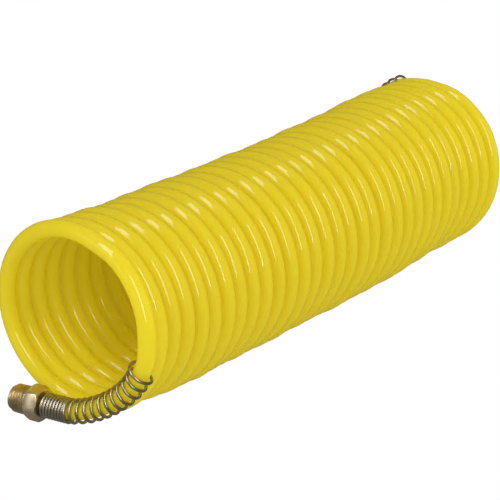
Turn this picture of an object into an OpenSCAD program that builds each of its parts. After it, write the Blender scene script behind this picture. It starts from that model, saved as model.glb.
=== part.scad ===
// Recoil air hose: a nylon tube wound into a long coil, with a swivelling brass pipe
// fitting and a coiled-wire bend guard on each end. The coil lies on its side along X,
// and the floor is Z = 0.

/* [Tube] */
// Outside diameter of the nylon tube
tube_od = 8; // [7.6:0.1:8]
// Inside diameter of the nylon tube
tube_id = 6; // [5.8:0.1:6]

/* [Coil] */
// Distance along the coil from one turn to the next
pitch = 10.3; // [10:0.1:12]
// Radius of the coil, from its axis to the middle of the tube
coil_r = 45.3; // [45.3:0.1:48]
// Whole turns, and the quarter turn that sets the far end at the top
turns = 30.25; // [6.25:1:40.25]

/* [Bend guard] */
// Diameter of the guard's steel wire
wire_d = 1.5; // [1.2:0.1:1.6]
// Radius of the guard, from the tube's middle to the wire's middle
guard_r = 5.2; // [5.2:0.1:5.4]
// Distance from one open coil of the guard to the next
open_pitch = 4.7; // [4:0.1:5]
// How much wider the guard's open end flares
flare = 0.9; // [0:0.1:1]
// Number of open coils over the bent stretch
open_coils = 11; // [8:1:11]
// Number of close coils that grip the ferrule
close_coils = 9; // [6:1:10]

/* [Fitting] */
// Distance across the flats of the hexagon
hex_af = 15; // [14:0.1:15]
// Length of the hexagon along the fitting
hex_length = 6.8; // [6.4:0.1:8]
// Radius of the male pipe thread over its crests
thread_r = 6.85; // [6.7:0.01:6.9]
// Length of the male pipe thread
thread_length = 9.6; // [9.2:0.1:12]
// Radius of the air passage through the stem
passage_r = 1.9; // [1.6:0.05:1.95]

/* [Hidden] */

$fn = 64;
tube_r = tube_od / 2;
coil_length = turns * pitch;
floor_drop = coil_r + tube_r;

// Each fitting's axis starts at a seat beside the coil's foot and points along +Y, turned
// outwards by yaw so that the hexagon clears the first turn.
yaw = 8;
fitting_axis = [-sin(yaw), cos(yaw), 0];

// Routes of the tube from the coil to the seat, as seen at the near end and measured from
// the coil's axis. Both tails curve in under the mouths.
near_route = [
    [1.7, -22.7, 39.2], [1, -34.6, 28.9], [-0.4, -42, 15.2], [-1.6, -43.6, 0],
    [-2.2, -42.2, -7.2], [-2.8, -38.8, -13.7], [-3.4, -34.4, -19.5], [-4, -29.3, -24.4],
    [-4.6, -24, -28.5], [-5.1, -18.4, -31.9], [-5.6, -12.8, -34.7], [-6, -7, -36.8],
    [-6.4, -2.9, -37.9], [-6.6, -0.3, -38.2]
];
far_route = [
    [1.7, -22.7, 39.2], [1, -34.4, 29], [0.1, -42.4, 15.6], [-0.6, -45, 0],
    [-1.2, -44.9, -8.2], [-1.8, -43.8, -16.4], [-2.5, -41.6, -24], [-3.3, -36.9, -30.6],
    [-4.1, -30, -35.6], [-4.9, -22.4, -38.8], [-5.6, -14.6, -40.6], [-6.1, -7.3, -41.3],
    [-6.4, -2.5, -41.5], [-6.6, 0.5, -41.5]
];

// Stations along the fitting's axis, from the seat to the end of the thread.
hose_end = 12;
guard_end = 13;
hex_start = 13;
flange_start = 13.2;
flange_end = 14.8;
flange_r = 5.9;
cup_end = 15.4;
cup_r = 6.1;
hex_end = hex_start + hex_length;
thread_end = hex_end + thread_length;
journal_end = 25.2;
journal_r = 3.4;
swivel_bore_r = journal_r + 0.05;
mouth_start = 23.4;
mouth_r = 4.4;
ring_groove = [23.7, 24.5];
seal_groove = [17.2, 18.4];
groove_r = 2.7;

// --- Curve through a route's points ---

function catmull(a, b, c, d, t) =
    0.5 * (2 * b + (c - a) * t + (2 * a - 5 * b + 4 * c - d) * t * t
    + (3 * b - a - 3 * c + d) * t * t * t);

function curve_through(knots, steps) = [
    for (i = [1 : len(knots) - 3], k = [0 : steps - 1])
        catmull(knots[i - 1], knots[i], knots[i + 1], knots[i + 2], k / steps)
];

function run_lengths(points, i = 1, found = [0]) =
    i == len(points) ? found
    : run_lengths(points, i + 1, concat(found, [found[i - 1] + norm(points[i] - points[i - 1])]));

// A line is [stations, points, station of the seat].
before_route = [2.3, -7.9, 44.6];
function line_of(route) =
    let (
        seat = route[len(route) - 1],
        curve = curve_through(concat([before_route], route, [seat + 8 * fitting_axis]), 4),
        points = concat(curve, [for (s = [0 : 3 : hose_end]) seat + s * fitting_axis]),
        stations = run_lengths(points)
    )
    [stations, points, stations[len(curve)]];

near_line = line_of(near_route);
far_line = line_of(far_route);

function table(line, axis) = [for (i = [0 : len(line[0]) - 1]) [line[0][i], line[1][i][axis]]];
function at(line, s) = [for (axis = [0 : 2]) lookup(s, table(line, axis))];
function line_end(line) = line[0][len(line[0]) - 1];
function unit(v) = v / norm(v);
function heading(line, s) =
    unit(at(line, min(s + 1, line_end(line))) - at(line, max(s - 1, 0)));
function square_to(v, t) = unit(v - (v * t) * t);

// --- Swept solids ---

// Joins rings of the same number of points into one closed skin of triangles.
function quad(a, b, c, d) = [[a, b, c], [a, c, d]];
function band(rings, sides, first, flip) = [
    for (i = [0 : rings - 2], j = [0 : sides - 1])
        let (a = first + i * sides + j, b = first + i * sides + (j + 1) % sides)
            each flip ? quad(a, a + sides, b + sides, b) : quad(a, b, b + sides, a + sides)
];

function ring_at(centre, side, up, r, sides) = [
    for (j = [0 : sides - 1])
        centre + r * (side * cos(360 * j / sides) + up * sin(360 * j / sides))
];

module tube_along(line, at_stations, r_out, r_in, sides) {
    function rings(r) = [
        for (s = at_stations)
            let (t = heading(line, s), side = square_to([1, 0, 0], t))
                each ring_at(at(line, s), side, cross(t, side), r, sides)
    ];
    n = len(at_stations);
    inner = n * sides;
    last = (n - 1) * sides;
    rims = [
        for (j = [0 : sides - 1])
            let (k = (j + 1) % sides)
                each concat(
                    quad(j, k, inner + k, inner + j),
                    quad(last + k, last + j, inner + last + j, inner + last + k)
                )
    ];
    skins = concat(band(n, sides, 0, true), band(n, sides, inner, false));
    polyhedron(concat(rings(r_out), rings(r_in)), concat(skins, rims));
}

module wire_through(centres, spokes, r, sides) {
    n = len(centres);
    points = [
        for (i = [0 : n - 1])
            let (t = unit(centres[min(i + 1, n - 1)] - centres[max(i - 1, 0)]),
                side = square_to(spokes[i], t))
                each ring_at(centres[i], side, cross(t, side), r, sides)
    ];
    near_cap = [[for (j = [0 : sides - 1]) j]];
    far_cap = [[for (j = [sides - 1 : -1 : 0]) (n - 1) * sides + j]];
    polyhedron(points, concat(band(n, sides, 0, true), near_cap, far_cap));
}

// --- Pieces of one end, as seen at the near end ---

module on_fitting_axis(from) {
    rotate([0, 90, 90 + yaw])
        translate([0, 0, from])
            children();
}

module hose_tail(line) {
    last = line_end(line);
    rings = 24;
    color("gold")
        tube_along(line, [for (i = [0 : rings]) last * i / rings], tube_r, tube_id / 2, 12);
}

module spring_guard(line) {
    samples = 10;
    close_pitch = wire_d + 0.12;
    close_length = close_coils * close_pitch;
    coils = open_coils + close_coils;
    last = line[2] + guard_end - wire_d / 2 - 0.1;
    function station(i) =
        i / samples < close_coils ? last - close_pitch * i / samples
        : last - close_length - open_pitch * (i / samples - close_coils);
    function reach(i) = guard_r + flare * pow(max(0, i / samples - coils + 2) / 2, 2);
    function spoke(i) =
        let (t = heading(line, station(i)), side = square_to([1, 0, 0], t), turn = 360 * i / samples)
            side * cos(turn) + cross(t, side) * sin(turn);
    spokes = [for (i = [0 : coils * samples]) spoke(i)];
    centres = [for (i = [0 : coils * samples]) at(line, station(i)) + reach(i) * spokes[i]];
    color("silver")
        wire_through(centres, spokes, wire_d / 2, 6);
}

module ferrule() {
    color("goldenrod")
        on_fitting_axis(1)
            difference() {
                cylinder(h = hose_end - 1, r = guard_r - wire_d / 2 - 0.05);
                translate([0, 0, -1])
                    cylinder(h = hose_end + 1, r = tube_r + 0.02);
            }
}

module stem() {
    barb_length = 4;
    groove_depth = [journal_r, groove_r];
    profile = [
        [passage_r, -1], [tube_id / 2 - 0.3, -1],
        for (i = [0 : 2]) each [
            [tube_id / 2 - 0.3, i * barb_length - 0.9],
            [tube_id / 2 - 0.02, i * barb_length + 2.4],
            [tube_id / 2 - 0.3, i * barb_length + 2.5]
        ],
        [tube_id / 2 - 0.3, flange_start], [flange_r, flange_start], [flange_r, flange_end],
        [groove_depth[0], flange_end],
        [groove_depth[0], seal_groove[0]], [groove_depth[1], seal_groove[0]],
        [groove_depth[1], seal_groove[1]], [groove_depth[0], seal_groove[1]],
        [groove_depth[0], ring_groove[0]], [groove_depth[1], ring_groove[0]],
        [groove_depth[1], ring_groove[1]], [groove_depth[0], ring_groove[1]],
        [groove_depth[0], journal_end - 0.3], [groove_depth[0] - 0.3, journal_end],
        [passage_r, journal_end]
    ];
    color("goldenrod")
        on_fitting_axis(0)
            rotate_extrude()
                polygon(profile);
}

module o_ring() {
    cord_r = 0.34;
    color("black")
        on_fitting_axis((seal_groove[0] + seal_groove[1]) / 2)
            rotate_extrude()
                translate([groove_r + cord_r, 0])
                    circle(r = cord_r);
}

module thrust_washer() {
    color("ivory")
        on_fitting_axis(flange_end)
            difference() {
                cylinder(h = cup_end - flange_end - 0.1, r = flange_r - 0.3);
                translate([0, 0, -1])
                    cylinder(h = 3, r = journal_r + 0.1);
            }
}

module snap_ring() {
    gap_angle = 50;
    color("dimgray")
        on_fitting_axis(ring_groove[0] + 0.1)
            rotate([0, 0, gap_angle / 2])
                rotate_extrude(angle = 360 - gap_angle)
                    translate([groove_r, 0])
                        square([mouth_r - 0.2 - groove_r, ring_groove[1] - ring_groove[0] - 0.2]);
}

// The hexagons stand at different turns, as they are free to.
module swivel_body(turn) {
    chamfer = 0.9;
    corner_r = hex_af / 2 / cos(30);
    color("goldenrod")
        on_fitting_axis(0)
            difference() {
                union() {
                    intersection() {
                        translate([0, 0, hex_start])
                            rotate([0, 0, turn])
                                cylinder(h = hex_length, r = corner_r, $fn = 6);
                        rotate_extrude()
                            polygon([
                                [0, hex_start], [corner_r - 1.4, hex_start],
                                [corner_r + 0.1, hex_start + chamfer],
                                [corner_r + 0.1, hex_end - chamfer],
                                [corner_r - 1.4, hex_end], [0, hex_end]
                            ]);
                    }
                    translate([0, 0, hex_end - 1])
                        cylinder(h = thread_length + 1 - 0.8, r = thread_r);
                    translate([0, 0, thread_end - 0.8])
                        cylinder(h = 0.8, r1 = thread_r, r2 = thread_r - 0.8);
                }
                translate([0, 0, hex_start - 1])
                    cylinder(h = cup_end - hex_start + 1, r = cup_r);
                translate([0, 0, hex_start])
                    cylinder(h = thread_end, r = swivel_bore_r);
                translate([0, 0, mouth_start])
                    cylinder(h = thread_end, r = mouth_r);
            }
}

// --- Placing the two ends on the coil ---

module near_end() {
    translate([-coil_length / 2, 0, floor_drop])
        children();
}

// The far end is turned half round about a line square to the coil.
module far_end() {
    translate([0, 0, floor_drop])
        rotate(180, [0, -1, 1])
            translate([-coil_length / 2, 0, 0])
                children();
}

module near_fitting() {
    near_end()
        translate(near_route[len(near_route) - 1])
            children();
}

module far_fitting() {
    far_end()
        translate(far_route[len(far_route) - 1])
            children();
}

// The wound stretch as one hollow barrel, as thick as the tube. Its ends are set in,
// clear of the two bend guards.
module hose_coil() {
    set_in = 6.2;
    color("gold")
        translate([0, 0, floor_drop])
            rotate([0, 90, 0])
                difference() {
                    cylinder(h = coil_length - 2 * set_in, r = coil_r + tube_r, center = true);
                    cylinder(h = coil_length, r = coil_r - tube_r, center = true);
                }
}

module near_hose_tail() { near_end() hose_tail(near_line); }
module near_spring_guard() { near_end() spring_guard(near_line); }
module near_ferrule() { near_fitting() ferrule(); }
module near_stem() { near_fitting() stem(); }
module near_o_ring() { near_fitting() o_ring(); }
module near_thrust_washer() { near_fitting() thrust_washer(); }
module near_swivel_body() { near_fitting() swivel_body(23); }
module near_snap_ring() { near_fitting() snap_ring(); }
module far_hose_tail() { far_end() hose_tail(far_line); }
module far_spring_guard() { far_end() spring_guard(far_line); }
module far_ferrule() { far_fitting() ferrule(); }
module far_stem() { far_fitting() stem(); }
module far_o_ring() { far_fitting() o_ring(); }
module far_thrust_washer() { far_fitting() thrust_washer(); }
module far_swivel_body() { far_fitting() swivel_body(30); }
module far_snap_ring() { far_fitting() snap_ring(); }

hose_coil();
near_hose_tail();
near_spring_guard();
near_ferrule();
near_stem();
near_o_ring();
near_thrust_washer();
near_swivel_body();
near_snap_ring();
far_hose_tail();
far_spring_guard();
far_ferrule();
far_stem();
far_o_ring();
far_thrust_washer();
far_swivel_body();
far_snap_ring();
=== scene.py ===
# %% [markdown]
# # A recoil air hose
# A recoil hose is a nylon tube that was heated while it was wound on a mandrel, so it
# springs back into a long coil after it has been pulled out. Each end has a brass pipe
# fitting on a swivel and a wire guard that keeps the tube from kinking. The frame holds
# the sizes and the moving joints. Here each piece gets its finished shape and material.

# %% Load the frame
import math
from bisect import bisect
from itertools import accumulate

import bpy
from mathutils import Matrix, Vector


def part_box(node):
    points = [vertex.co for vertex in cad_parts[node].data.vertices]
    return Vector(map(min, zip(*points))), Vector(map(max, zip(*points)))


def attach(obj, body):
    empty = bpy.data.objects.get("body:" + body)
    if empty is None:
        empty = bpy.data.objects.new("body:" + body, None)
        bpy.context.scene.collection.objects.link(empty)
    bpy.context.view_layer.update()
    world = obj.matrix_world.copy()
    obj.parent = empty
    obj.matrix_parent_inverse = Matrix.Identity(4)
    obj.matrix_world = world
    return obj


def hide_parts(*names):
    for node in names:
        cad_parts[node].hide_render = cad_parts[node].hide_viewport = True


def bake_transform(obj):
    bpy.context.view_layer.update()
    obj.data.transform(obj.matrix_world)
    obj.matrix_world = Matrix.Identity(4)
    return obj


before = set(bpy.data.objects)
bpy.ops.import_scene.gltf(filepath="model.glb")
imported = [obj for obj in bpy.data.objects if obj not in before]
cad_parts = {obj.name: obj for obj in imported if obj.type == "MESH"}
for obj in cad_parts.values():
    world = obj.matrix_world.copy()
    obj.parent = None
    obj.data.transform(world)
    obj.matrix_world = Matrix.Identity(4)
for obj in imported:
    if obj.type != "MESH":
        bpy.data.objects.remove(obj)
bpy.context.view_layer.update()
MM = 0.001

# %% [markdown]
# ## The camera
# The camera comes first, because it decides which sides will be seen closely. It stands
# a little above the coil, off its near mouth, and looks along the coil at an angle, so
# the mouth, the near fitting and the long row of turns all show. It is placed by its
# direction from the middle of the coil, as someone would walk round the object with it.

# %% Place the camera
coil_low, coil_high = (Vector(corner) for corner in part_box("hose_coil"))
coil_middle = (coil_low + coil_high) / 2
AZIMUTH, ELEVATION = math.radians(-53.63), math.radians(20.6)
DISTANCE = 0.7873
AIM_LEFT, AIM_DOWN = 0.0141, 0.0096
LENS, SENSOR_WIDTH = 108.56, 36
back = Vector((
    math.sin(AZIMUTH) * math.cos(ELEVATION),
    -math.cos(AZIMUTH) * math.cos(ELEVATION),
    math.sin(ELEVATION),
))
right = Vector((math.cos(AZIMUTH), math.sin(AZIMUTH), 0))
up = back.cross(right)
camera_data = bpy.data.cameras.new("camera")
camera_data.lens = LENS
camera_data.sensor_width = SENSOR_WIDTH
camera = bpy.data.objects.new("camera", camera_data)
bpy.context.scene.collection.objects.link(camera)
camera.matrix_world = Matrix.Translation(
    coil_middle + back * DISTANCE - right * AIM_LEFT - up * AIM_DOWN
) @ Matrix((right, up, back)).transposed().to_4x4()
bpy.context.scene.camera = camera
bpy.context.scene.view_settings.view_transform = "Standard"
print("camera at", [round(value, 3) for value in camera.matrix_world.translation])

# %% [markdown]
# ## The tube
# The whole hose is one tube: a bent tail, thirty turns, and the other tail. A coil's
# turns follow a rule, so a loop works them out, while each tail follows a few listed
# points. A smooth curve through all of them gives the middle line.

# %% The sizes and routes of the tube
TUBE_D = 8 * MM
COIL_R = 45.3 * MM
PITCH = 10.3 * MM
TURNS = 30.25
COIL_LENGTH = TURNS * PITCH
AXIS_Z = COIL_R + TUBE_D / 2
NEAR_ROUTE = [
    (1.7, -22.7, 39.2), (1, -34.6, 28.9), (-0.4, -42, 15.2), (-1.6, -43.6, 0),
    (-2.2, -42.2, -7.2), (-2.8, -38.8, -13.7), (-3.4, -34.4, -19.5), (-4, -29.3, -24.4),
    (-4.6, -24, -28.5), (-5.1, -18.4, -31.9), (-5.6, -12.8, -34.7), (-6, -7, -36.8),
    (-6.4, -2.9, -37.9), (-6.6, -0.3, -38.2),
]
FAR_ROUTE = [
    (1.7, -22.7, 39.2), (1, -34.4, 29), (0.1, -42.4, 15.6), (-0.6, -45, 0),
    (-1.2, -44.9, -8.2), (-1.8, -43.8, -16.4), (-2.5, -41.6, -24), (-3.3, -36.9, -30.6),
    (-4.1, -30, -35.6), (-4.9, -22.4, -38.8), (-5.6, -14.6, -40.6), (-6.1, -7.3, -41.3),
    (-6.4, -2.5, -41.5), (-6.6, 0.5, -41.5),
]
YAW = math.radians(8)
FITTING_AXIS = Vector((-math.sin(YAW), math.cos(YAW), 0))
HOSE_END = 12 * MM


def at_near_end(point):
    return point + Vector((-COIL_LENGTH / 2, 0, AXIS_Z))


def at_far_end(point):
    """The far end is turned half round about a line square to the coil."""
    x, y, z = point
    return Vector((COIL_LENGTH / 2 - x, -z, AXIS_Z - y))


print("the fittings point along", [round(v, 3) for v in FITTING_AXIS])

# %% [markdown]
# A coil that has been used is never quite even. The first turn of this one stands wide,
# the next third is drawn in, and it widens again to the far end, while the turns lie a
# little to one side and then to the other. The list gives that, from the near end to the
# far one: how far along, how much wider than usual, and how far aside, in millimetres.
# The first few turns also lean: on the side where the near end leaves the coil they lie
# further along it, so the hose end stands clear of the turns behind it. Two slow waves on
# top of it all keep neighbouring turns from being copies of each other.

# %% The shape of the coil
WANDER = [
    (0, 0, 0), (0.04, -2.8, 3.8), (0.14, -2.8, 1.2), (0.32, -2.3, -0.4), (0.5, -1.8, -1.8),
    (0.7, -0.2, -1.8), (0.88, 0.8, 2.3), (0.96, 1.4, 2.6), (1, 0, 0),
]
SPACING_DRIFT = 9 * MM
NEAR_SHARE = 0.15
NEAR_SHIFT = 1.5 * MM
LEAN = 5 * MM
LEAN_FROM, LEAN_TO = 0.03, 0.2
WAVE = 0.25 * MM
WAVE_FROM, WAVE_TO, WAVE_FADE = 0.04, 0.97, 0.05


def wander(share):
    """How much wider the coil is at this share of its length, and how far aside."""
    share = min(max(share, 0), 1)
    for (a, wide_a, aside_a), (b, wide_b, aside_b) in zip(WANDER, WANDER[1:]):
        if share <= b:
            part = (share - a) / (b - a)
            wider = wide_a + (wide_b - wide_a) * part
            aside = aside_a + (aside_b - aside_a) * part
            return wider * MM, aside * MM


def coil_point(angle):
    """A point of the coil's middle line, by the angle wound since the near end."""
    along = PITCH * angle / math.tau
    share = along / COIL_LENGTH
    near = max(0, 1 - share / NEAR_SHARE) ** 2
    inside = max(0, min(share - WAVE_FROM, WAVE_TO - share))
    loose = min(1, inside / WAVE_FADE)
    wider, aside = wander(share)
    wave = WAVE * loose * (math.sin(0.37 * angle) + 0.8 * math.sin(0.83 * angle + 2))
    slide = WAVE * loose * (math.sin(0.53 * angle + 1) + math.sin(0.21 * angle))
    leaning = min(1, share / LEAN_FROM) * max(0, 1 - share / LEAN_TO)
    slide += LEAN * leaning * (1 + math.cos(angle)) / 2
    radius = COIL_R - NEAR_SHIFT * near + wider + wave
    return Vector((
        along - SPACING_DRIFT * math.sin(math.pi * share) + slide,
        NEAR_SHIFT * near + aside - radius * math.cos(angle),
        NEAR_SHIFT * near + radius * math.sin(angle),
    ))


print("coil: wider by", wander(0.5)[0] / MM, "mm at its middle")

# %% [markdown]
# Each tail follows the points of its route, and a smooth curve goes through all of them.
# The two tails and the turns between them then make one line from fitting to fitting.
# The far tail's curve starts from where a plain coil would be, which is near enough to
# this one that the tube shows no kink.

# %% The middle line of the whole tube
POINTS_PER_TURN = 72
STEP_ANGLE = math.tau / POINTS_PER_TURN
END_ANGLE = math.radians(60)
TOTAL_ANGLE = math.tau * TURNS
PLAIN_Y, PLAIN_Z = -7.9 * MM, 44.6 * MM
TAIL_STEPS, STRAIGHT_STEPS = 3, 6


def smooth_line(knots, steps):
    """Points on a smooth curve through the inner knots."""
    line = []
    for a, b, c, d in zip(knots, knots[1:], knots[2:], knots[3:]):
        for k in range(steps):
            t = k / steps
            line.append(0.5 * (
                2 * b + (c - a) * t + (2 * a - 5 * b + 4 * c - d) * t ** 2
                + (3 * b - a - 3 * c + d) * t ** 3
            ))
    return line


def tail_line(route, before, steps):
    """The curve of a tail from the coil to its seat, where the hose meets its fitting."""
    points = [Vector(point) * MM for point in route]
    seat = points[-1]
    return smooth_line([before, *points, seat + FITTING_AXIS * 8 * MM], steps) + [seat]


def add_lengths(line):
    return [0, *accumulate((b - a).length for a, b in zip(line, line[1:]))]


near_before = coil_point(END_ANGLE + 4 * STEP_ANGLE)
far_turn = coil_point(TOTAL_ANGLE - END_ANGLE - 4 * STEP_ANGLE)
far_before = Vector((COIL_LENGTH - far_turn.x, PLAIN_Y, PLAIN_Z))
near_line = tail_line(NEAR_ROUTE, near_before, TAIL_STEPS)
far_line = tail_line(FAR_ROUTE, far_before, TAIL_STEPS)
for line in (near_line, far_line):
    seat = line[-1]
    for part in range(1, STRAIGHT_STEPS + 1):
        line.append(seat + FITTING_AXIS * HOSE_END * part / STRAIGHT_STEPS)
near_tail = [at_near_end(point) for point in reversed(near_line)]
far_tail = [at_far_end(point) for point in far_line]
first = round(END_ANGLE / STEP_ANGLE) + 2
last = round((TOTAL_ANGLE - END_ANGLE) / STEP_ANGLE) - 2
turns = [at_near_end(coil_point(k * STEP_ANGLE)) for k in range(first, last + 1)]
middle_line = near_tail + turns + far_tail
lengths = add_lengths(middle_line)

# %% [markdown]
# The tube's skin is a ring of points swept along the middle line. Blender's curve bevel
# could do it too, but a mesh made here keeps each ring's number, which each ring's share
# of the stretch and the material both need. The tube's two ends sit inside the ferrules.

# %% Sweep the tube
RING_SIDES = 20


def square_to(direction, tangent):
    return (direction - direction.dot(tangent) * tangent).normalized()


def sweep(name, line, radius, sides, reference):
    """A closed tube along a line, with one reference direction for each ring."""
    verts, faces = [], []
    last = len(line) - 1
    for i, centre in enumerate(line):
        tangent = (line[min(i + 1, last)] - line[max(i - 1, 0)]).normalized()
        side = square_to(reference[i], tangent)
        lift = tangent.cross(side)
        for j in range(sides):
            turn = math.tau * j / sides
            verts.append(centre + radius * (side * math.cos(turn) + lift * math.sin(turn)))
    for i in range(last):
        for j in range(sides):
            a, b = i * sides + j, i * sides + (j + 1) % sides
            faces.append((a, b, b + sides, a + sides))
    faces.append(tuple(range(sides - 1, -1, -1)))
    faces.append(tuple(last * sides + j for j in range(sides)))
    mesh = bpy.data.meshes.new(name)
    mesh.from_pydata(verts, [], faces)
    for face in mesh.polygons:
        face.use_smooth = len(face.vertices) == 4
    piece = bpy.data.objects.new(name, mesh)
    bpy.context.scene.collection.objects.link(piece)
    return piece


sideways = [Vector((1, 0, 0))] * len(middle_line)
hose = sweep("hose", middle_line, TUBE_D / 2, RING_SIDES, sideways)
print("hose:", len(hose.data.polygons), "faces")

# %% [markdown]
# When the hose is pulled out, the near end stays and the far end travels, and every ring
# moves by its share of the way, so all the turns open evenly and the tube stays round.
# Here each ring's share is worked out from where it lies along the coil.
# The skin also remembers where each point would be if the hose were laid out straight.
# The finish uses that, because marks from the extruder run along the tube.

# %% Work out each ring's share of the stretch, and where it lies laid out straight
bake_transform(hose)
opening, straight = [], []
for centre, distance in zip(middle_line, lengths):
    share = (centre.x + COIL_LENGTH / 2) / COIL_LENGTH
    opening += [min(max(share, 0), 1)] * RING_SIDES
    for j in range(RING_SIDES):
        turn = math.tau * j / RING_SIDES
        straight += [distance, math.cos(turn) * TUBE_D / 2, math.sin(turn) * TUBE_D / 2]
laid_out = hose.data.attributes.new("straight", "FLOAT_VECTOR", "POINT")
laid_out.data.foreach_set("vector", straight)
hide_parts("hose_coil", "near_hose_tail", "far_hose_tail")
print("hose: share of the stretch from", opening[0], "to", opening[-1])

# %% [markdown]
# ## The spring guards
# A guard is one plated wire wound round a rod: nine close turns that grip the ferrule,
# then eleven open ones that let the tube bend gently, with the last two flared so that
# the wire's end doesn't cut into the nylon. On the hose it follows the bend of the tail.
# So the wire is worked out turn by turn along the tail and swept with the same function.

# %% Wind the spring guards
WIRE_D = 1.5 * MM
GUARD_R = 5.2 * MM
FLARE = 0.9 * MM
CLOSE_COILS, OPEN_COILS, FLARED_COILS = 9, 11, 2
COILS = CLOSE_COILS + OPEN_COILS
CLOSE_PITCH, OPEN_PITCH = WIRE_D + 0.12 * MM, 4.7 * MM
HEX_START = 13 * MM
GUARD_START = HEX_START - WIRE_D / 2 - 0.1 * MM
WIRE_STEPS = 28
WIRE_SIDES = 10
GUARD_LINE_STEPS = 8


def place_on(line, lengths, distance):
    """The point of a line at a distance along it."""
    k = min(max(bisect(lengths, distance), 1), len(line) - 1)
    return line[k - 1].lerp(line[k], (distance - lengths[k - 1]) / (lengths[k] - lengths[k - 1]))


def wind_guard(name, route, before, place, body):
    line = tail_line(route, before, GUARD_LINE_STEPS)
    line.append(line[-1] + FITTING_AXIS * 20 * MM)
    lengths = add_lengths(line)
    station = lengths[-2] + GUARD_START
    wire, spokes = [], []
    for k in range(COILS * WIRE_STEPS + 1):
        coil = k / WIRE_STEPS
        centre = place_on(line, lengths, station)
        ahead, behind = (place_on(line, lengths, station + d * MM) for d in (1, -1))
        tangent = (ahead - behind).normalized()
        side = square_to(Vector((1, 0, 0)), tangent)
        turn = math.tau * coil
        spoke = side * math.cos(turn) + tangent.cross(side) * math.sin(turn)
        flare = FLARE * (max(0, coil - COILS + FLARED_COILS) / FLARED_COILS) ** 2
        wire.append(place(centre + spoke * (GUARD_R + flare)))
        spokes.append(wire[-1] - place(centre))
        station -= (CLOSE_PITCH if coil < CLOSE_COILS else OPEN_PITCH) / WIRE_STEPS
    guard = sweep(name, wire, WIRE_D / 2, WIRE_SIDES, spokes)
    coils = [k / WIRE_STEPS for k in range(len(wire)) for j in range(WIRE_SIDES)]
    guard.data.attributes.new("coils", "FLOAT", "POINT")
    guard.data.attributes["coils"].data.foreach_set("value", coils)
    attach(guard, body)
    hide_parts(body.replace("_end", "_spring_guard"))
    return guard


near_guard = wind_guard("near_guard", NEAR_ROUTE, near_before, at_near_end, "near_end")
far_guard = wind_guard("far_guard", FAR_ROUTE, far_before, at_far_end, "far_end")
print("guards:", len(near_guard.data.polygons), "faces each")

# %% [markdown]
# ## The swivel fittings
# A fitting like this is turned from hexagonal brass bar: the flats are left for the
# wrench, the corners are chamfered, the front is turned down and a tapered pipe thread
# is cut on it. Here the same steps are followed. A six-sided bar is crossed with a round
# one whose rims are bevelled, which leaves the curved edge that turning gives each
# corner. The piece is made standing at the origin, with its distances from the seat.

# %% Turn the hexagon and the thread's blank
HEX_END, THREAD_END = 19.8 * MM, 29.4 * MM
HEX_CORNER = 7.5 * MM / math.cos(math.radians(30))
RIM_R, RIM_BEVEL = 8.5 * MM, 0.95 * MM
BLANK_R, TIP_R = 5.87 * MM, 5.56 * MM


def pick(piece):
    """Selects one piece alone, for the steps that work on what is selected."""
    bpy.ops.object.select_all(action="DESELECT")
    piece.select_set(True)
    bpy.context.view_layer.objects.active = piece


def round_bar(start, end, radius, tip=None, sides=64):
    """A straight or tapered bar standing on Z between two heights."""
    bpy.ops.object.select_all(action="DESELECT")
    bpy.ops.mesh.primitive_cone_add(
        vertices=sides, radius1=radius, radius2=tip or radius, depth=end - start,
        location=(0, 0, (start + end) / 2))
    bpy.ops.object.transform_apply(location=True, rotation=False, scale=False)
    return bpy.context.object


def apply_step(piece, step):
    pick(piece)
    bpy.ops.object.modifier_apply(modifier=step.name)


def combine(piece, other, operation):
    """Joins, cuts or crosses a piece with another one, which is used up."""
    step = piece.modifiers.new("combine", "BOOLEAN")
    step.operation = operation
    step.solver = "EXACT"
    step.object = other
    apply_step(piece, step)
    bpy.data.objects.remove(other)


def soften(piece, width):
    step = piece.modifiers.new("soften", "BEVEL")
    step.width = width
    step.segments = 1
    step.limit_method = "ANGLE"
    step.angle_limit = math.radians(40)
    apply_step(piece, step)


near_swivel = round_bar(HEX_START, HEX_END, HEX_CORNER, sides=6)
near_swivel.name = "near_fitting"
rim = round_bar(HEX_START, HEX_END, RIM_R, sides=96)
soften(rim, RIM_BEVEL)
combine(near_swivel, rim, "INTERSECT")
combine(near_swivel, round_bar(HEX_END - 0.5 * MM, THREAD_END, BLANK_R, TIP_R), "UNION")
print("hexagon and blank:", len(near_swivel.data.polygons), "faces")

# %% [markdown]
# The fitting is hollow. The journal of the stem runs through its bore, the stem's flange
# turns in the cup at the back, and the snap ring sits in the wide mouth at the front.
# The bores are cut before the small bevel, so that their edges catch the light as well.

# %% Bore the fitting
CUP_END, MOUTH_START = 15.4 * MM, 23.4 * MM
BORES = [
    (HEX_START - 1 * MM, THREAD_END + 1 * MM, 3.45 * MM, 3.45 * MM),
    (HEX_START - 1 * MM, CUP_END, 6.1 * MM, 6.1 * MM),
    (MOUTH_START, THREAD_END + 1 * MM, 4.4 * MM, 4.4 * MM),
    (THREAD_END - 0.5 * MM, THREAD_END + 0.5 * MM, 4.3 * MM, 5.3 * MM),
]
for start, end, radius, tip in BORES:
    combine(near_swivel, round_bar(start, end, radius, tip), "DIFFERENCE")
soften(near_swivel, 0.12 * MM)
print("bored fitting:", len(near_swivel.data.polygons), "faces")

# %% [markdown]
# A quarter-inch pipe thread has eighteen ridges to the inch with sides at sixty degrees.
# So the ridge is a three-sided sweep along a helix, and the helix narrows by one part in
# sixteen, as pipe threads do, which is what makes them seal. At both ends the ridge runs
# out into the blank, as it does when a die is backed off. Corners that the joining left
# doubled are merged afterwards, so that the skin is closed.

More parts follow.
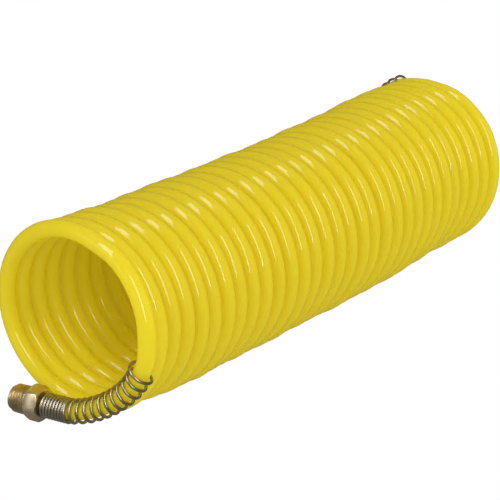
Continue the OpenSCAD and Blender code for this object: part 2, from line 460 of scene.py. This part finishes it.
# %% Cut the thread
THREAD_R = 6.85 * MM
THREAD_PITCH = 25.4 * MM / 18
THREAD_TURNS = 5.5
THREAD_RISE = 0.75 * MM
RIDGE = 0.78 * MM
RUN_OUT_TURNS, RUN_OUT_DEPTH = 0.4, 0.95 * MM
THREAD_STEPS = 40
helix, spokes = [], []
for k in range(round(THREAD_TURNS * THREAD_STEPS) + 1):
    turn = k / THREAD_STEPS
    spoke = Vector((math.cos(math.tau * turn), math.sin(math.tau * turn), 0))
    height = THREAD_PITCH * turn
    past = max(0, RUN_OUT_TURNS - turn, turn - THREAD_TURNS + RUN_OUT_TURNS)
    radius = THREAD_R - RIDGE - height / 32 - RUN_OUT_DEPTH * (past / RUN_OUT_TURNS) ** 2
    helix.append(spoke * radius + Vector((0, 0, HEX_END + THREAD_RISE + height)))
    spokes.append(spoke)
combine(near_swivel, sweep("thread", helix, RIDGE, 3, spokes), "UNION")
pick(near_swivel)
bpy.ops.object.mode_set(mode="EDIT")
bpy.ops.mesh.select_all(action="SELECT")
bpy.ops.mesh.remove_doubles(threshold=0.002 * MM)
bpy.ops.object.mode_set(mode="OBJECT")
print("threaded fitting:", len(near_swivel.data.polygons), "faces")

# %% [markdown]
# ## The two fittings in their places
# The maker screws the same fitting on both ends, so the far one is a copy of the near
# one. Each is carried from the origin to its seat on the hose by one matrix, built from
# where the seat and two directions at it land. The near one is also turned a little on
# its own axis, because a swivel may come to rest at any turn.

# %% Set a fitting on each end of the hose


def upright_to(place, seat):
    """The matrix that takes a piece made upright at the origin to a seat on the hose."""
    origin = place(seat)
    along = place(seat + FITTING_AXIS) - origin
    level = place(seat + Vector((0, 0, 1))) - origin
    turn = Matrix((level, along.cross(level), along)).transposed()
    return Matrix.Translation(origin) @ turn.to_4x4()


near_seat = Vector(NEAR_ROUTE[-1]) * MM
far_seat = Vector(FAR_ROUTE[-1]) * MM
far_swivel = near_swivel.copy()
far_swivel.data = near_swivel.data.copy()
far_swivel.name = "far_fitting"
bpy.context.scene.collection.objects.link(far_swivel)
NEAR_TURN = math.radians(-7)
near_turn = Matrix.Rotation(NEAR_TURN, 4, "Z")
near_swivel.data.transform(upright_to(at_near_end, near_seat) @ near_turn)
far_swivel.data.transform(upright_to(at_far_end, far_seat))
for swivel, end in ((near_swivel, "near"), (far_swivel, "far")):
    pick(swivel)
    bpy.ops.object.shade_smooth_by_angle(angle=math.radians(30))
    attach(swivel, end + "_swivel")
    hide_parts(end + "_swivel_body")
    print(swivel.name, "reaches", [round(v, 3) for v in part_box(end + "_swivel_body")[0]])

# %% [markdown]
# ## Writing shaders as arithmetic
# A finish is a little maths on a few noise patterns. One small class holds a value of a
# shader, so that sums and products of such values can be written as in any program, and
# its one other method adds any kind of node. What stays the same over a whole piece is
# set on the shader's own inputs, and only what varies is linked.

# %% A small class for shader maths


class Value:
    """A value inside a material, that can be added, multiplied or fed to a node."""

    def __init__(self, tree, socket):
        self.tree = tree
        self.socket = socket

    def node(self, kind, inputs, output=0, **settings):
        """Any node, with its inputs by name or number and its settings by name."""
        made = self.tree.nodes.new(kind)
        for name, value in settings.items():
            setattr(made, name, value)
        for name, value in inputs.items():
            if isinstance(value, Value):
                self.tree.links.new(value.socket, made.inputs[name])
            else:
                made.inputs[name].default_value = value
        return Value(self.tree, made.outputs[output])

    def __add__(self, other):
        return self.node("ShaderNodeMath", {0: self, 1: other}, operation="ADD")

    def __radd__(self, other):
        return self + other

    def __mul__(self, other):
        return self.node("ShaderNodeMath", {0: self, 1: other}, operation="MULTIPLY")

    def __rmul__(self, other):
        return self * other

    def __sub__(self, other):
        return self.node("ShaderNodeMath", {0: self, 1: other}, operation="SUBTRACT")

    def __rsub__(self, other):
        return self.node("ShaderNodeMath", {0: other, 1: self}, operation="SUBTRACT")


def new_finish(name, **settings):
    """A material with its plain settings, and the value that its maths starts from."""
    material = bpy.data.materials.new(name)
    material.use_nodes = True
    tree = material.node_tree
    shader = tree.nodes["Principled BSDF"]
    for setting, value in settings.items():
        shader.inputs[setting.replace("_", " ")].default_value = value
    return material, shader, Value(tree, shader.outputs[0])


def feed(value, shader, name):
    value.tree.links.new(value.socket, shader.inputs[name])


def noise(place, scale, stretch=(1, 1, 1), detail=3):
    """A noise pattern of so many patches to the metre, from 0 to 1."""
    moved = place.node("ShaderNodeMapping", {"Vector": place, "Scale": stretch})
    return moved.node("ShaderNodeTexNoise", {"Vector": moved, "Scale": scale, "Detail": detail})


def spread(value, low, high):
    """Stretches the middle of a noise pattern to run from 0 to 1."""
    return value.node("ShaderNodeMapRange", {"Value": value, "From Min": low, "From Max": high})


def mix(share, first, second):
    """Two colours mixed by a share from 0 to 1."""
    inputs = {0: share, 6: first, 7: second}
    return share.node("ShaderNodeMix", inputs, output=2, data_type="RGBA")


def bump(height, shader, depth):
    inputs = {"Height": height, "Strength": 1.0, "Distance": depth}
    feed(height.node("ShaderNodeBump", inputs), shader, "Normal")


print("shader maths ready")

# %% [markdown]
# ## The nylon
# The tube's wall is a millimetre of yellow nylon, clear enough that much of the light
# goes through it, into the tube and out on the other side. That softens the shade between
# the turns and warms the inside of the coil. So a translucent shader is mixed with the
# usual one. Extruding leaves faint lines along the tube, and handling dulls it in
# patches: the long noise goes to the bump and a broader one to the colour and roughness.

# %% Yellow nylon
nylon, shader, start = new_finish("yellow nylon", IOR=1.5, Coat_Weight=0.4, Coat_Roughness=0.04)
place = start.node("ShaderNodeAttribute", {}, output=1, attribute_name="straight")
lines = noise(place, 700, (0.01, 1, 1))
patches = noise(place, 45, (1, 3, 3))
scuffs = spread(noise(place, 260, (0.35, 1, 1), 5), 0.5, 0.75)
feed(mix(patches, (0.88, 0.765, 0.035, 1), (0.84, 0.725, 0.035, 1)), shader, "Base Color")
through = start.node("ShaderNodeBsdfTranslucent", {"Color": (0.82, 0.73, 0.08, 1)})
both = start.node("ShaderNodeMixShader", {0: 0.6, 1: start, 2: through})
nylon.node_tree.links.new(both.socket, nylon.node_tree.nodes["Material Output"].inputs[0])
feed(0.08 + patches * 0.04 + scuffs * 0.1, shader, "Roughness")
bump(lines * 0.7 + scuffs * 0.3, shader, 0.04 * MM)
hose.data.materials.append(nylon)
print("nylon on", hose.name)

# %% [markdown]
# ## The plated wire
# The guards are zinc plated and then dipped in a yellow chromate, which dries to a thin
# film with tints of gold, green and pink. The close turns rub on each other and stay
# more silver. The wire's number of turns, kept when it was wound, tells the two apart.

# %% Plated steel
plated, shader, start = new_finish("plated steel", Metallic=1.0, Roughness=0.24)
place = start.node("ShaderNodeTexCoord", {}, output=3)
coils = start.node("ShaderNodeAttribute", {}, output=2, attribute_name="coils")
opened = spread(coils, 7.0, 13.0)
gold = spread(noise(place, 190), 0.38, 0.6)
green = spread(noise(place, 240, (1, 1.3, 0.8)), 0.5, 0.64)
tint = mix(gold, (0.44, 0.29, 0.23, 1), (0.50, 0.38, 0.16, 1))
tint = mix(green, tint, (0.25, 0.36, 0.18, 1))
film = opened * 0.45 + 0.35 + green * 0.2
feed(mix(film, (0.43, 0.42, 0.37, 1), tint), shader, "Base Color")
feed(0.26 + gold * 0.12, shader, "Roughness")
bump(noise(place, 900), shader, 0.01 * MM)
for guard in (near_guard, far_guard):
    guard.data.materials.append(plated)
print("plated steel on the guards")

# %% [markdown]
# ## The brass
# Turned brass has fine rings round its axis from the tool, and it dulls to brown where
# it is handled. The place along the fitting's axis gives the rings. The two ends point
# different ways, so each has its own brass. The crimped ferrules and the stems are the
# same metal.

# %% Brass, for each end along its own axis


def dress(node_name, material):
    """Puts a finish on a plain part that stays showing."""
    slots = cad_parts[node_name].data.materials
    slots.clear()
    slots.append(material)


near_axis = at_near_end(near_seat + FITTING_AXIS) - at_near_end(near_seat)
far_axis = at_far_end(far_seat + FITTING_AXIS) - at_far_end(far_seat)
for end, axis, swivel in (("near", near_axis, near_swivel), ("far", far_axis, far_swivel)):
    brass, shader, start = new_finish(end + " brass", Metallic=1.0)
    place = start.node("ShaderNodeTexCoord", {}, output=3)
    inputs = {0: place, 1: tuple(axis)}
    along = place.node("ShaderNodeVectorMath", inputs, output=1, operation="DOT_PRODUCT")
    inputs = {"W": along, "Scale": 2600, "Detail": 2}
    rings = along.node("ShaderNodeTexNoise", inputs, noise_dimensions="1D")
    tarnish = spread(noise(place, 150, detail=4), 0.45, 0.7)
    bright, brown = (0.76, 0.63, 0.40, 1), (0.50, 0.39, 0.23, 1)
    feed(mix(tarnish, bright, brown), shader, "Base Color")
    feed(0.24 + rings * 0.16 + tarnish * 0.12, shader, "Roughness")
    bump(rings, shader, 0.03 * MM)
    swivel.data.materials.append(brass)
    for part in ("stem", "ferrule"):
        dress(end + "_" + part, brass)
    print(brass.name, "on the", end, "fitting")

# %% [markdown]
# ## The small parts inside the swivels
# Each swivel has a black nitrile ring that seals it, a white acetal washer under the
# flange, and a spring steel ring in the mouth that keeps the fitting on. Little of them
# shows, but all three are there when the joint is looked into.

# %% Rubber, acetal and dark spring steel


def small_finish(name, dark, light, rough, metallic, part, scale, depth):
    """A finish that is a noise between two colours, put on one part at each end."""
    material, shader, start = new_finish(name, Metallic=metallic)
    place = start.node("ShaderNodeTexCoord", {}, output=3)
    grain = noise(place, scale)
    feed(mix(grain, dark, light), shader, "Base Color")
    feed(rough + grain * 0.15, shader, "Roughness")
    bump(grain, shader, depth)
    for end in ("near", "far"):
        dress(end + "_" + part, material)
    print(name, "on the", part)


small_finish("nitrile rubber", (0.010, 0.010, 0.011, 1), (0.028, 0.027, 0.026, 1), 0.45, 0.0,
             "o_ring", 2500, 0.02 * MM)
small_finish("white acetal", (0.66, 0.65, 0.60, 1), (0.80, 0.79, 0.75, 1), 0.38, 0.0,
             "thrust_washer", 900, 0.01 * MM)
small_finish("spring steel", (0.10, 0.10, 0.11, 1), (0.24, 0.23, 0.22, 1), 0.3, 1.0,
             "snap_ring", 1800, 0.015 * MM)

# %% [markdown]
# ## Light and table
# The hose is shown as for a catalogue, on plain white with no shadow. A table that gives
# off light does that. It is left out of reflections, where it would make the brass and
# the wires too pale from below.

# %% The white table
bpy.ops.object.select_all(action="DESELECT")
bpy.ops.mesh.primitive_plane_add(size=8, location=(0, 0, -0.5 * MM))
table = bpy.context.object
table.name = "table"
glow, shader, start = new_finish("lit table", Base_Color=(0, 0, 0, 1), Roughness=1.0)
shader.inputs["Specular IOR Level"].default_value = 0
shader.inputs["Emission Color"].default_value = (1, 1, 1, 1)
shader.inputs["Emission Strength"].default_value = 1
table.data.materials.append(glow)
table.visible_glossy = False
print("table", [round(v, 2) for v in table.dimensions])

# %% [markdown]
# ## The lights
# Two soft boxes give the two rows of long highlights: one stands in front, a little above
# the coil, and one hangs over it. A faint card at the side shows in the brass flat that
# faces the camera. A wide, soft light along the long side brightens the outside of the
# coil and leaves the inside of its mouth duller; it has no reflection of its own. White
# surroundings fill the rest. The camera sees them at full white, the hose is lit by a
# dimmer version of them, and they are dimmer still in its reflections.

# %% Soft boxes and white surroundings


def soft_box(name, direction, distance, width, height, power):
    light = bpy.data.lights.new(name, "AREA")
    light.shape = "RECTANGLE"
    light.size = width
    light.size_y = height
    light.energy = power
    lamp = bpy.data.objects.new(name, light)
    bpy.context.scene.collection.objects.link(lamp)
    towards = Vector(direction).normalized()
    lamp.location = coil_middle + towards * distance
    lamp.rotation_euler = towards.to_track_quat("Z", "Y").to_euler()
    return lamp


soft_box("front_box", (-0.604, -0.666, 0.44), 1.6, 0.36, 1.2, 12)
soft_box("top_box", (-0.574, 0.15, 0.80), 1.6, 0.36, 1.2, 10)
soft_box("side_card", (-0.877, 0.326, 0.352), 1.6, 0.8, 0.8, 2)
long_side = soft_box("long_side", (0.5, -0.8, 0.38), 1.8, 1.2, 1.2, 17)
long_side.visible_glossy = False
FILL, SHEEN = 0.5, 0.2
world = bpy.data.worlds.new("studio")
world.use_nodes = True
background = world.node_tree.nodes["Background"]
background.inputs["Color"].default_value = (1, 1, 1, 1)
ray = world.node_tree.nodes.new("ShaderNodeLightPath")
seen = Value(world.node_tree, ray.outputs["Is Camera Ray"])
mirrored = Value(world.node_tree, ray.outputs["Is Glossy Ray"])
strength = seen * (1 - FILL) + FILL - mirrored * (FILL - SHEEN)
world.node_tree.links.new(strength.socket, background.inputs["Strength"])
bpy.context.scene.world = world

# %% [markdown]

# %% Finish
print("done")
